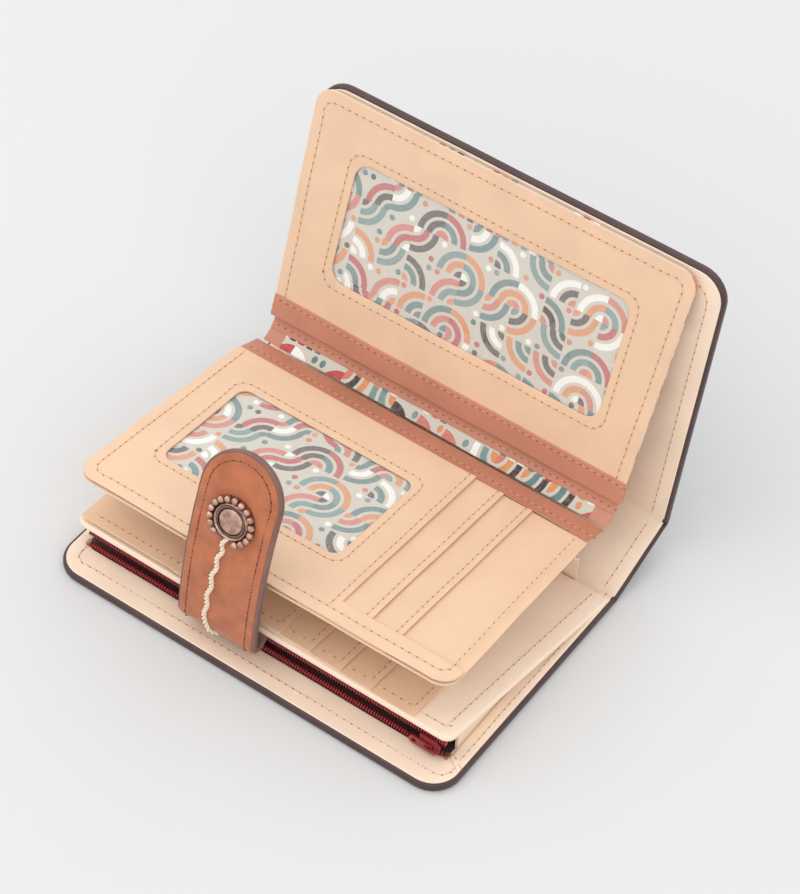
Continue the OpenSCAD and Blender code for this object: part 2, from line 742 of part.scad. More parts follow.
front_cover();
front_board();
front_facing();
coin_bag_floor();
coin_gusset_left();
coin_gusset_right();
zip_tape_front();
zip_teeth_front();
zip_end_stops();
leaf_bellows();
card_page_backing();
coin_bag_top();
zip_tape_back();
zip_teeth_back();
card_pocket_1();
card_pocket_2();
card_pocket_3();
card_pocket_4();
card_pocket_5();
card_page_trim();
strap_root();
zip_slider();
zip_pull();
leaf_front();
leaf_film();
leaf_window_lining();
leaf_pocket_2();
leaf_pocket_3();
leaf_core();
leaf_back_sheet();
leaf_flap();
spine_cover();
spine_lining();
back_cover();
back_board();
back_lining();
stud_cap();
stud_post();
window_page_front();
window_page_film();
window_page_lining();
window_page_back();
window_page_trim();
bill_sheet();
bill_sheet_ends();
strap_face();
strap_lining();
button_cap();
button_beads();
button_socket();
strap_cord();
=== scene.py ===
"""Dresses the folding wallet: leather, cloth, film, zip, stitches and the button, on a pale studio floor."""
import json
import math

import bmesh
import bpy
from mathutils import Matrix, Vector

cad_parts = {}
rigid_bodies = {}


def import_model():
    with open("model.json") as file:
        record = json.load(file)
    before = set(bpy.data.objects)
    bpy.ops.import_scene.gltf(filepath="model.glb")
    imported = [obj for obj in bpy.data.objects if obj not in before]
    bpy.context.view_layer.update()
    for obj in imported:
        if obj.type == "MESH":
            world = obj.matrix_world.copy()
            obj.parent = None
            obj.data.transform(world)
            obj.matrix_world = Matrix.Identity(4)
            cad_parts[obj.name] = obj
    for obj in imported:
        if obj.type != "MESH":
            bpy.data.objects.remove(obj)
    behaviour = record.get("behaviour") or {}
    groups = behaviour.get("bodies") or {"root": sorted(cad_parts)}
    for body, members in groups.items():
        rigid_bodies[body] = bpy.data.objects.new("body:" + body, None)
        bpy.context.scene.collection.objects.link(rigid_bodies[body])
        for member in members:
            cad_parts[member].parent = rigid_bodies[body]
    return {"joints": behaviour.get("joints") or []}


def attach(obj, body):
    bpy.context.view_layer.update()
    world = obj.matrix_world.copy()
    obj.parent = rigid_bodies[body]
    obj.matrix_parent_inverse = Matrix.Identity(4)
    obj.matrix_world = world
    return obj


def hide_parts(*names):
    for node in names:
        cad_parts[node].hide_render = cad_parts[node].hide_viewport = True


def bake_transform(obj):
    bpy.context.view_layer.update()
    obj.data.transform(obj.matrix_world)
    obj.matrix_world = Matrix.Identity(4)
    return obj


bl_info = {
    "name": "Folding Wallet Dresser",
    "version": (1, 0, 0),
    "blender": (4, 5, 0),
    "location": "View3D > Sidebar > Wallet",
    "description": "Builds the visual pieces of a half open wallet over its CAD parts",
    "category": "Object",
}

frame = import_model()
MM = 0.001
JOINT = {j["name"]: Vector(j["pos_m"]) / MM for j in frame["joints"]}


def rx(deg):
    """A turn about X in degrees."""
    return Matrix.Rotation(math.radians(deg), 4, "X")


def at(x, y, z):
    """A shift in millimetres."""
    return Matrix.Translation((x, y, z))


# Places of the tilted pieces, in millimetres: each turns about its joint of the frame.
FLOOR = Matrix.Identity(4)
PAGE = at(*JOINT["card_page_lift"]) @ rx(-7)
LEAF = at(*JOINT["leaf_fold"]) @ rx(-6.5)
FLAP = LEAF @ rx(-15)
SPINE = at(*JOINT["spine_fold"]) @ rx(22)
BACK = at(*JOINT["cover_fold"]) @ rx(80)
PANEL = BACK @ at(0, 0, -0.7)
REAR = at(*JOINT["window_page_fold"]) @ rx(72)

# Sizes that several pieces share, in millimetres and degrees.
COVER_X = 82.5  # half the cover's width
LINING_X = 81.4  # half the width of the linings inside it
SEAM_X = 76.6  # stitch lines of the back panel and spine, either side
PAGE_LEFT, PAGE_RIGHT, PAGE_TAPER = -82.0, 73.0, 2.8  # sides of the leaf and the window page
CARD_DEPTH, LEAF_DEPTH, WINDOW_DEPTH = 91.4, 90.0, 93.5
HANG = 9.0  # free length of the printed cloth below the window page
SEAM_INSET = 4.3  # from a page's edge to its stitches
STRAP_X, STRAP_L, STRAP_R, STRAP_TURN = -14.0, 71.0, 190.0, 85.0  # middle, length, curve, lean
STRAP_BASE = JOINT["strap_fold"]
STRAP_W = 16.0  # half the strap's width
BUTTON_INSET = 25.0  # from the strap's tip to the button's centre


def colour(name, description, r, g, b):
    """A colour setting."""
    return bpy.props.FloatVectorProperty(name=name, description=description, subtype="COLOR", size=3, min=0,
                                         max=1, default=(r, g, b))


def length(name, description, default, low, high):
    """A length setting, given in millimetres."""
    return bpy.props.FloatProperty(name=name, description=description, default=default * MM, min=low * MM,
                                   max=high * MM, unit="LENGTH", precision=5)


class WalletSettings(bpy.types.PropertyGroup):
    """Sizes and colours that a user would change"""

    stitch_pitch: length("Stitch Pitch", "Distance from one stitch to the next", 3.0, 1.5, 5)
    stitch_length: length("Stitch Length", "Visible length of one stitch", 2.0, 0.8, 3)
    thread_radius: length("Thread Radius", "Radius of the sewing thread", 0.2, 0.1, 0.6)
    tooth_pitch: length("Tooth Pitch", "Distance from one zip tooth to the next", 1.05, 0.8, 3)
    print_tile: length("Print Tile", "Side of one tile of the cloth print", 11.0, 5, 30)
    waviness: bpy.props.FloatProperty(name="Leather Waviness",
                                      description="How far the leather sheets depart from flat",
                                      default=1.0, min=0, max=2, subtype="FACTOR")
    bead_count: bpy.props.IntProperty(name="Button Beads", description="Number of beads round the button",
                                      default=16, min=8, max=24)
    cover_colour: colour("Cover", "Outer leather of the cover", 0.075, 0.034, 0.034)
    lining_colour: colour("Lining", "Leather inside the cover", 0.91, 0.72, 0.56)
    page_colour: colour("Pages", "Leather of the pages and card pockets", 0.80, 0.545, 0.365)
    binding_colour: colour("Binding", "Leather strips along the pages' folds", 0.57, 0.24, 0.15)
    suede_colour: colour("Suede", "Face of the strap", 0.52, 0.16, 0.066)
    pocket_colour: colour("Coin Pocket", "Cloth inside the coin pocket", 0.24, 0.014, 0.02)
    teeth_colour: colour("Zip Teeth", "Coil and slider of the zip", 0.31, 0.028, 0.038)
    metal_colour: colour("Metal", "Lit parts of the aged button", 0.68, 0.42, 0.34)


# ---- materials


def group(name, ins, outs, kind="ShaderNodeTree"):
    """An empty node group with its sockets; returns it with its input and output nodes."""
    g = bpy.data.node_groups.new(name, kind)
    for n, socket, v in ins:
        s = g.interface.new_socket(name=n, in_out="INPUT", socket_type=socket)
        if v is not None:
            s.default_value = v
    for n, socket in outs:
        g.interface.new_socket(name=n, in_out="OUTPUT", socket_type=socket)
    return g, g.nodes.new("NodeGroupInput"), g.nodes.new("NodeGroupOutput")


def node(tree, kind, inputs=None, **props):
    """A node with its properties set and each input given a value or linked to a socket."""
    n = tree.nodes.new(kind)
    for k, v in props.items():
        setattr(n, k, v)
    for k, v in (inputs or {}).items():
        if isinstance(v, bpy.types.NodeSocket):
            tree.links.new(v, n.inputs[k])
        else:
            n.inputs[k].default_value = v
    return n


def math_node(tree, op, a, b=0.0, c=0.0):
    """The result of one Math node."""
    return node(tree, "ShaderNodeMath", {0: a, 1: b, 2: c}, operation=op).outputs[0]


def distance(tree, a, b):
    """The length of a vector from its two parts."""
    squares = [math_node(tree, "MULTIPLY", v, v) for v in (a, b)]
    return math_node(tree, "SQRT", math_node(tree, "ADD", *squares))


def mix_colour(tree, fac, a, b):
    """Colour b over colour a by a factor."""
    n = node(tree, "ShaderNodeMix", {"Factor": fac}, data_type="RGBA")
    for s, v in ((n.inputs[6], a), (n.inputs[7], b)):
        if isinstance(v, bpy.types.NodeSocket):
            tree.links.new(v, s)
        else:
            s.default_value = v
    return n.outputs[2]


def grain_group():
    """Leather and suede: a mottled colour and a bumped normal from the piece's own coordinates."""
    ins = [
        ("Vector", "NodeSocketVector", None),
        ("Light", "NodeSocketColor", (0.8, 0.6, 0.5, 1)),
        ("Dark", "NodeSocketColor", (0.6, 0.4, 0.3, 1)),
        ("Mottle Scale", "NodeSocketFloat", 60.0),
        ("Grain Scale", "NodeSocketFloat", 1500.0),
        ("Grain Depth", "NodeSocketFloat", 0.00002),
        ("Fold Depth", "NodeSocketFloat", 0.0003),
    ]
    g, i, o = group("Wallet Grain", ins, [("Color", "NodeSocketColor"), ("Normal", "NodeSocketVector")])
    mottle = node(g, "ShaderNodeTexNoise",
                  {"Vector": i.outputs["Vector"], "Scale": i.outputs["Mottle Scale"], "Detail": 4.0})
    spread = node(g, "ShaderNodeMapRange", {0: mottle.outputs[0], 1: 0.32, 2: 0.68})
    fine = node(g, "ShaderNodeTexNoise",
                {"Vector": i.outputs["Vector"], "Scale": i.outputs["Grain Scale"], "Detail": 2.0})
    pores = node(g, "ShaderNodeTexVoronoi",
                 {"Vector": i.outputs["Vector"], "Scale": i.outputs["Grain Scale"]})
    soft = node(g, "ShaderNodeTexNoise", {"Vector": i.outputs["Vector"], "Scale": 38.0, "Detail": 1.0})
    height = math_node(g, "ADD", fine.outputs[0], pores.outputs["Distance"])
    b1 = node(g, "ShaderNodeBump", {"Strength": 1.0, "Distance": i.outputs["Fold Depth"],
                                    "Height": soft.outputs[0]})
    b2 = node(g, "ShaderNodeBump", {"Strength": 0.8, "Distance": i.outputs["Grain Depth"], "Height": height,
                                    "Normal": b1.outputs[0]})
    g.links.new(mix_colour(g, spread.outputs[0], i.outputs["Dark"], i.outputs["Light"]), o.inputs["Color"])
    g.links.new(b2.outputs[0], o.inputs["Normal"])
    return g


PRINT_GROUND = (0.61, 0.57, 0.49, 1)
PRINT_COLOURS = (
    (0.0, (0.10, 0.21, 0.21)), (0.16, (0.50, 0.055, 0.065)), (0.30, (0.70, 0.27, 0.09)),
    (0.46, (0.88, 0.88, 0.83)), (0.64, (0.052, 0.03, 0.028)), (0.77, (0.62, 0.18, 0.13)),
    (0.88, (0.17, 0.29, 0.27)),
)


def print_group():
    """Cloth print: tiles of quarter rings and dots in seven colours, drawn from the piece's UV map."""
    ins = [("Vector", "NodeSocketVector", None), ("Rings", "NodeSocketFloat", 3.0)]
    band_middle, band_half, dot_place, dot_size = 0.42, 0.33, 0.84, 0.10
    g, i, o = group("Wallet Print", ins, [("Color", "NodeSocketColor")])
    sep = node(g, "ShaderNodeSeparateXYZ", {0: i.outputs["Vector"]})
    x, y = sep.outputs[0], sep.outputs[1]
    cx, cy = math_node(g, "FLOOR", x), math_node(g, "FLOOR", y)
    cell = node(g, "ShaderNodeCombineXYZ", {0: cx, 1: cy, 2: 3.7})
    rnd = node(g, "ShaderNodeTexWhiteNoise", {"Vector": cell.outputs[0]}, noise_dimensions="3D")
    srgb = node(g, "ShaderNodeSeparateColor", {0: rnd.outputs["Color"]})
    flips = []
    for value, c, pick in ((x, cx, srgb.outputs[0]), (y, cy, srgb.outputs[1])):
        local = math_node(g, "SUBTRACT", value, c)
        turn = math_node(g, "GREATER_THAN", pick, 0.5)
        back = math_node(g, "SUBTRACT", 1.0, math_node(g, "MULTIPLY", local, 2.0))
        flips.append(math_node(g, "MULTIPLY_ADD", turn, back, local))
    r = distance(g, *flips)
    band = math_node(g, "MULTIPLY", r, i.outputs["Rings"])
    index = math_node(g, "FLOOR", band)
    within = math_node(g, "SUBTRACT", band, index)
    bar = math_node(g, "COMPARE", within, band_middle, band_half)
    inside = math_node(g, "LESS_THAN", r, 1.0)
    mask = math_node(g, "MULTIPLY", bar, inside)
    off = distance(g, *[math_node(g, "SUBTRACT", f, dot_place) for f in flips])
    dot = math_node(g, "LESS_THAN", off, dot_size)
    mask = math_node(g, "MAXIMUM", mask, dot)
    pick = node(g, "ShaderNodeCombineXYZ", {0: cx, 1: cy, 2: math_node(g, "MULTIPLY_ADD", index, 1.37, 0.5)})
    shade = node(g, "ShaderNodeTexWhiteNoise", {"Vector": pick.outputs[0]}, noise_dimensions="3D")
    ramp = node(g, "ShaderNodeValToRGB", {0: shade.outputs["Value"]})
    ramp.color_ramp.interpolation = "CONSTANT"
    els = ramp.color_ramp.elements
    while len(els) < len(PRINT_COLOURS):
        els.new(0.5)
    for e, (p, c) in zip(els, PRINT_COLOURS):
        e.position, e.color = p, (*c, 1)
    wear = node(g, "ShaderNodeTexNoise", {"Vector": i.outputs["Vector"], "Scale": 9.0, "Detail": 5.0})
    worn = node(g, "ShaderNodeMapRange", {0: wear.outputs[0], 1: 0.3, 2: 0.55, 3: 0.84, 4: 1.0})
    mask = math_node(g, "MULTIPLY", mask, worn.outputs[0])
    g.links.new(mix_colour(g, mask, PRINT_GROUND, ramp.outputs[0]), o.inputs["Color"])
    return g


MATS = {}


def principled(name, **values):
    """A plain material and its shader; a value's name has underscores for spaces."""
    m = bpy.data.materials.new(name)
    m.use_nodes = True
    p = m.node_tree.nodes["Principled BSDF"]
    for k, v in values.items():
        p.inputs[k.replace("_", " ")].default_value = v
    MATS[name] = m
    return m, p


def grain_material(name, light, dark, rough, grain_tree, mottle=60.0, grain=1500.0, depth=0.00002,
                   fold=0.0003, **values):
    """A material that the grain group colours and bumps."""
    m, p = principled(name, Roughness=rough, **values)
    t = m.node_tree
    co = t.nodes.new("ShaderNodeTexCoord")
    n = t.nodes.new("ShaderNodeGroup")
    n.node_tree = grain_tree
    t.links.new(co.outputs["Object"], n.inputs["Vector"])
    for k, v in (("Light", (*light, 1)), ("Dark", (*dark, 1)), ("Mottle Scale", mottle),
                 ("Grain Scale", grain), ("Grain Depth", depth), ("Fold Depth", fold)):
        n.inputs[k].default_value = v
    t.links.new(n.outputs["Color"], p.inputs["Base Color"])
    t.links.new(n.outputs["Normal"], p.inputs["Normal"])


def darker(c, by):
    """A colour scaled by a factor."""
    return tuple(v * by for v in c)


def make_materials():
    """Every material, from the user's colours."""
    s = bpy.context.scene.wallet
    g = grain_group()
    grain_material("Lining", s.lining_colour, darker(s.lining_colour, 0.92), 0.5, g)
    grain_material("Page", s.page_colour, darker(s.page_colour, 0.93), 0.48, g)
    grain_material("Pale Edge", (0.92, 0.75, 0.60), (0.87, 0.69, 0.54), 0.55, g, fold=0.0001)
    grain_material("Plum", s.cover_colour, darker(s.cover_colour, 0.68), 0.42, g, grain=1100.0, depth=0.00004)
    grain_material("Terracotta", s.binding_colour, darker(s.binding_colour, 0.88), 0.5, g)
    grain_material("Suede", s.suede_colour, darker(s.suede_colour, 0.72), 0.9, g, mottle=150.0,
                   grain=2600.0, depth=0.00007, fold=0.0002, Sheen_Weight=0.25, Sheen_Roughness=0.5)
    grain_material("Edge Paint", (0.23, 0.125, 0.105), (0.17, 0.088, 0.074), 0.6, g, mottle=200.0)
    grain_material("Burgundy Cloth", s.pocket_colour, darker(s.pocket_colour, 0.66), 0.8, g, mottle=500.0,
                   grain=2400.0, depth=0.00006)
    grain_material("Board", (0.35, 0.25, 0.17), (0.3, 0.2, 0.13), 0.8, g)
    principled("Teeth", Base_Color=(*s.teeth_colour, 1), Roughness=0.3)
    principled("Zip Metal", Base_Color=(*darker(s.teeth_colour, 0.8), 1), Roughness=0.28)
    # Each thread has a darker colour for its needle holes: painted shade in the holes.
    for name, c, hole_shade in (("Thread", (0.74, 0.5, 0.34), (0.33, 0.17, 0.09)),
                          ("Rose Thread", (0.68, 0.34, 0.235), (0.3, 0.11, 0.07)),
                          ("Dark Thread", (0.25, 0.072, 0.036), (0.04, 0.012, 0.008))):
        principled(name, Base_Color=(*c, 1), Roughness=0.7)
        principled(name + " Hole", Base_Color=(*hole_shade, 1), Roughness=0.9)
    principled("Cord", Base_Color=(0.80, 0.68, 0.52, 1), Roughness=0.75)
    principled("Film", Base_Color=(0.95, 0.96, 0.95, 1), Roughness=0.1, Alpha=0.1)
    metal = {"mottle": 420.0, "depth": 0.00001, "fold": 0.00003, "Metallic": 1.0}
    grain_material("Aged Metal", s.metal_colour, darker(s.metal_colour, 0.5), 0.34, g, **metal)
    # A darker copy of the button metal for its flange and rope ring: painted shade of the recess round the
    # beads.
    grain_material("Dark Metal", darker(s.metal_colour, 0.42), darker(s.metal_colour, 0.2), 0.45, g, **metal)
    m, p = principled("Print", Roughness=0.6)
    t = m.node_tree
    uv = t.nodes.new("ShaderNodeUVMap")
    uv.uv_map = "UVMap"
    n = t.nodes.new("ShaderNodeGroup")
    n.node_tree = print_group()
    n.inputs["Rings"].default_value = 3.0
    t.links.new(uv.outputs[0], n.inputs["Vector"])
    t.links.new(n.outputs["Color"], p.inputs["Base Color"])


# ---- mesh helpers


CORNER_STEP = math.radians(12)


def rounded(corners, radii):
    """A closed outline with rounded corners; corners run anticlockwise."""
    out = []
    n = len(corners)
    for k in range(n):
        p = Vector(corners[k])
        r = radii[k] if isinstance(radii, (list, tuple)) else radii
        a, b = (Vector(corners[k - 1]) - p).normalized(), (Vector(corners[(k + 1) % n]) - p).normalized()
        if r <= 0:
            out.append((p.x, p.y))
            continue
        half = a.angle(b) / 2
        reach = r / math.tan(half)
        centre = p + (a + b).normalized() * (r / math.sin(half))
        s, e = p + a * reach - centre, p + b * reach - centre
        turn = s.angle(e)
        sign = 1 if s.x * e.y - s.y * e.x > 0 else -1
        parts = max(2, int(turn / CORNER_STEP) + 1)
        for j in range(parts + 1):
            t = sign * turn * j / parts
            out.append((centre.x + s.x * math.cos(t) - s.y * math.sin(t),
                        centre.y + s.x * math.sin(t) + s.y * math.cos(t)))
    return out


def box_outline(x0, x1, y0, y1, r):
    """A rectangle with rounded corners."""
    return rounded([(x0, y0), (x1, y0), (x1, y1), (x0, y1)], r)


def page_outline(x0, x1, y0, y1, r, taper=0.0, flare=0.0, inset=0.0):
    """A page with its free edge at y0, rounded there, and its fold at y1."""
    i = inset
    return rounded([(x0 + i, y0 + i), (x1 - i, y0 + i), (x1 - taper + flare - i, y1), (x0 + taper + i, y1)],
                   [max(r - i, 0.5)] * 2 + [0, 0])


def ripple(x, y, seed=0.0):
    """A smooth pseudo random height from -1 to 1."""
    return (math.sin(x * 0.071 + seed) * math.cos(y * 0.083 + seed * 1.7)
            + 0.6 * math.sin(x * 0.16 + y * 0.11 + seed * 2.3)
            + 0.4 * math.cos(x * 0.05 - y * 0.19 + seed * 0.7)) / 2


def raised(height):
    """A bend that lifts each point by a height found from its place."""
    return lambda p: Vector((p.x, p.y, p.z + height(p)))


def gape(bend, mouth, lift, low=-1000.0):
    """The same bend with a pocket's mouth standing up a little along its edge."""
    def lifted(p):
        q = bend(p)
        q.z += lift * max(0.0, min(1.0, (p.x - mouth + 7) / 7)) ** 2 * max(0.0, min(1.0, (p.y - low) / 5))
        return q
    return lifted


def smooth(mesh, angle=40):
    """Smooth shading that keeps edges sharper than an angle in degrees."""
    mesh.shade_smooth()
    mesh.set_sharp_from_angle(angle=math.radians(angle))


def finish_piece(mesh, name, mat, body, nodes=()):
    """Names a mesh, gives it its material and hands it to the frame."""
    mesh.materials.clear()
    mesh.materials.append(MATS[mat])
    mesh.name = name.replace(" ", "_")
    o = bpy.data.objects.new(mesh.name, mesh)
    bpy.context.scene.collection.objects.link(o)
    if nodes:
        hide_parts(*nodes)
    if body:
        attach(o, body)
    return o


def scratch(name, data):
    """An object that is in the scene only until its mesh is taken."""
    o = bpy.data.objects.new(name, data)
    bpy.context.scene.collection.objects.link(o)
    return o


def take_mesh(o):
    """The evaluated mesh of a scratch object, which is removed."""
    mesh = bpy.data.meshes.new_from_object(o.evaluated_get(bpy.context.evaluated_depsgraph_get()))
    bpy.data.objects.remove(o)
    return mesh


def plate(name, outline, z0, z1, place, mat, body, nodes=(), holes=(), bevel=0.3, grid=0,
          bend=None):
    """A flat sheet with rounded edges between two heights, cut into a grid, bent and set in its place."""
    c = bpy.data.curves.new(name, "CURVE")
    c.dimensions, c.fill_mode = "2D", "BOTH"
    bevel = min(bevel, (z1 - z0) / 2 - 0.01)
    c.bevel_depth, c.bevel_resolution, c.offset = bevel, 2, -bevel
    c.extrude = (z1 - z0) / 2 - bevel
    for ring in [outline, *holes]:
        s = c.splines.new("POLY")
        s.points.add(len(ring) - 1)
        for p, q in zip(s.points, ring):
            p.co = (q[0], q[1], 0, 1)
        s.use_cyclic_u = True
    mesh = take_mesh(scratch(name, c))
    bpy.data.curves.remove(c)
    bm = bmesh.new()
    bm.from_mesh(mesh)
    bmesh.ops.remove_doubles(bm, verts=bm.verts, dist=0.002)
    if grid:
        for axis in (0, 1):
            side = [p[axis] for p in outline]
            lo, hi = min(side), max(side)
            count = max(1, int((hi - lo) / grid))
            for k in range(1, count):
                co, no = [0, 0, 0], [0, 0, 0]
                co[axis], no[axis] = lo + (hi - lo) * k / count, 1
                bmesh.ops.bisect_plane(bm, geom=bm.verts[:] + bm.edges[:] + bm.faces[:], plane_co=co,
                                       plane_no=no, dist=0.001)
    uv = bm.loops.layers.uv.get("UVMap") or bm.loops.layers.uv.new("UVMap")
    tile = bpy.context.scene.wallet.print_tile / MM
    for f in bm.faces:
        for loop in f.loops:
            loop[uv].uv = (loop.vert.co.x / tile, loop.vert.co.y / tile)
    mid = (z0 + z1) / 2
    for v in bm.verts:
        p = Vector((v.co.x, v.co.y, v.co.z + mid))
        if bend:
            p = bend(p)
        v.co = (place @ p) * MM
    bmesh.ops.recalc_face_normals(bm, faces=bm.faces)
    mesh.clear_geometry()
    bm.to_mesh(mesh)
    bm.free()
    for extra in [u for u in mesh.uv_layers if u.name != "UVMap"]:
        mesh.uv_layers.remove(extra)
    smooth(mesh)
    return finish_piece(mesh, name, mat, body, nodes)


def repaint(mat, *nodes):
    """A CAD node that stays gets a finer material."""
    for n in nodes:
        o = bpy.data.objects[n]
        o.data.materials.clear()
        o.data.materials.append(MATS[mat])


RUNS = {}


def run_group(kind):
    """Geometry nodes: a stitch, a needle hole mark of painted shade, a zip tooth or a bead on even points
    along a path, turned to it.
    """
    if kind in RUNS:
        return RUNS[kind]
    ins = [("Geometry", "NodeSocketGeometry", None), ("Pitch", "NodeSocketFloat", 0.003),
           ("Length", "NodeSocketFloat", 0.002), ("Radius", "NodeSocketFloat", 0.0003),
           ("Material", "NodeSocketMaterial", None)]
    g, i, o = group("Wallet Run " + kind, ins, [("Geometry", "NodeSocketGeometry")], "GeometryNodeTree")
    curve = node(g, "GeometryNodeMeshToCurve", {"Mesh": i.outputs["Geometry"]})
    even = node(g, "GeometryNodeResampleCurve", {"Curve": curve.outputs[0], 3: i.outputs["Pitch"]},
                mode="LENGTH")
    tangent = g.nodes.new("GeometryNodeInputTangent")
    rot = node(g, "FunctionNodeAlignRotationToVector", {"Vector": tangent.outputs[0]}, axis="X")
    segments, rings = (16, 10) if kind == "Ball" else (8, 6)
    ball = node(g, "GeometryNodeMeshUVSphere", {"Segments": segments, "Rings": rings, "Radius": 1.0})
    ball = node(g, "GeometryNodeSetShadeSmooth", {0: ball.outputs[0]})
    if kind == "Hole":
        # The piece is scaled to its length later, so the step ahead is divided by it here.
        ahead = math_node(g, "DIVIDE", i.outputs["Pitch"], i.outputs["Length"])
        shift = node(g, "ShaderNodeCombineXYZ", {0: ahead})
        ball = node(g, "GeometryNodeTransform",
                    {"Geometry": ball.outputs[0], "Translation": shift.outputs[0]})
    half = math_node(g, "MULTIPLY", i.outputs["Length"], 0.5)
    size = node(g, "ShaderNodeCombineXYZ", {0: half, 1: i.outputs["Radius"], 2: i.outputs["Radius"]})
    put = node(g, "GeometryNodeInstanceOnPoints", {"Points": even.outputs[0], "Instance": ball.outputs[0],
                                                   "Rotation": rot.outputs[0], "Scale": size.outputs[0]})
    real = node(g, "GeometryNodeRealizeInstances", {0: put.outputs[0]})
    mat = node(g, "GeometryNodeSetMaterial", {"Geometry": real.outputs[0], "Material": i.outputs["Material"]})
    g.links.new(mat.outputs[0], o.inputs[0])
    RUNS[kind] = g
    return g


def run(name, paths, pitch, size, radius, mat, body, nodes=(), kind="Stitch", blend=None):
    """Instances along paths of points in millimetres, turned into one plain mesh."""
    mesh = bpy.data.meshes.new(name)
    verts, edges = [], []
    for path in paths:
        first = len(verts)
        verts += [Vector(p) * MM for p in path]
        edges += [(first + k, first + k + 1) for k in range(len(path) - 1)]
    mesh.from_pydata(verts, edges, [])
    o = scratch(name, mesh)
    mod = o.modifiers.new("Run", "NODES")
    mod.node_group = run_group(kind)
    ids = {s.name: s.identifier for s in mod.node_group.interface.items_tree if s.in_out == "INPUT"}
    mod[ids["Pitch"]], mod[ids["Length"]], mod[ids["Radius"]] = pitch * MM, size * MM, radius * MM
    mod[ids["Material"]] = MATS[mat]
    piece = finish_piece(take_mesh(o), name, mat, None if blend else body, nodes)
    if blend:
        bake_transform(piece)
    return piece


def on(place, pts, z, bend=None):
    """Points on a plate's surface, in millimetres of the shared frame."""
    out = []
    for p in pts:
        v = Vector((p[0], p[1], z if len(p) < 3 else p[2]))
        out.append(place @ (bend(v) if bend else v))
    return out


def split(points, step=2.0, closed=False):
    """The same line with points no further apart than a step."""
    pts = [Vector(p) for p in points]
    if closed:
        pts.append(pts[0])
    out = [pts[0]]
    for a, b in zip(pts, pts[1:]):
        n = max(1, int((b - a).length / step))
        out += [a + (b - a) * k / n for k in range(1, n + 1)]
    return out


def stitches(name, paths, mat, body, blend=None):
    """A stitch at each step of the paths and, between one stitch and the next, a dark mark of painted shade
    for the needle hole.
    """
    s = bpy.context.scene.wallet
    pitch, size, radius = s.stitch_pitch / MM, s.stitch_length / MM, s.thread_radius / MM
    hole_shade = (pitch - size) * 1.1
    run(name, paths, pitch, size, radius, mat, body, blend=blend)
    run(name.replace("Stitches", "Needle Holes"), paths, pitch, hole_shade, radius, mat + " Hole", body,
        kind="Hole", blend=blend)


def lathe(name, profile, place, mat, body, nodes=()):
    """A closed turned piece from its profile of radius and height."""
    parts = 64
    turns = [2 * math.pi * k / parts for k in range(parts)]
    bm = bmesh.new()
    rings = []
    for r, z in profile:
        if r < 1e-6:
            rings.append([bm.verts.new((0, 0, z))])
        else:
            rings.append([bm.verts.new((r * math.cos(a), r * math.sin(a), z)) for a in turns])
    for a, b in zip(rings, rings[1:]):
        for k in range(parts):
            quad = [a[k % len(a)], a[(k + 1) % len(a)], b[(k + 1) % len(b)], b[k % len(b)]]
            quad = list(dict.fromkeys(quad))
            if len(quad) > 2:
                bm.faces.new(quad)
    for v in bm.verts:
        v.co = (place @ v.co) * MM
    bmesh.ops.recalc_face_normals(bm, faces=bm.faces)
    mesh = bpy.data.meshes.new(name)
    bm.to_mesh(mesh)
    bm.free()
    smooth(mesh, 50)
    return finish_piece(mesh, name, mat, body, nodes)


def tube(name, strands, radius, mat, body, nodes=(), closed=False):
    """Round strands through points in millimetres."""
    c = bpy.data.curves.new(name, "CURVE")
    c.dimensions, c.bevel_depth, c.bevel_resolution, c.use_fill_caps = "3D", radius * MM, 2, not closed
    for pts in strands:
        s = c.splines.new("POLY")
        s.points.add(len(pts) - 1)
        for p, q in zip(s.points, pts):
            p.co = (*(Vector(q) * MM), 1)
        s.use_cyclic_u = closed
    mesh = take_mesh(scratch(name, c))
    bpy.data.curves.remove(c)
    smooth(mesh, 60)
    return finish_piece(mesh, name, mat, body, nodes)


def spline(points, parts=8):
    """Catmull-Rom through points."""
    p = [Vector(q) for q in points]
    p = [p[0] * 2 - p[1]] + p + [p[-1] * 2 - p[-2]]
    out = []
    for k in range(1, len(p) - 2):
        for j in range(parts):
            t = j / parts
            a, b, c, d = p[k - 1:k + 3]
            out.append(0.5 * (2 * b + (c - a) * t + (2 * a - 5 * b + 4 * c - d) * t * t
                              + (3 * b - a - 3 * c + d) * t ** 3))
    return out + [p[-2]]


def along(line, s):
    """Point and side normal of a line in a plane at a distance from its start."""
    k = 0
    while k < len(line) - 2 and s > (line[k + 1] - line[k]).length:
        s -= (line[k + 1] - line[k]).length
        k += 1
    d = (line[k + 1] - line[k]).normalized()
    return line[k] + d * s, Vector((d.y, -d.x))


# ---- the cover


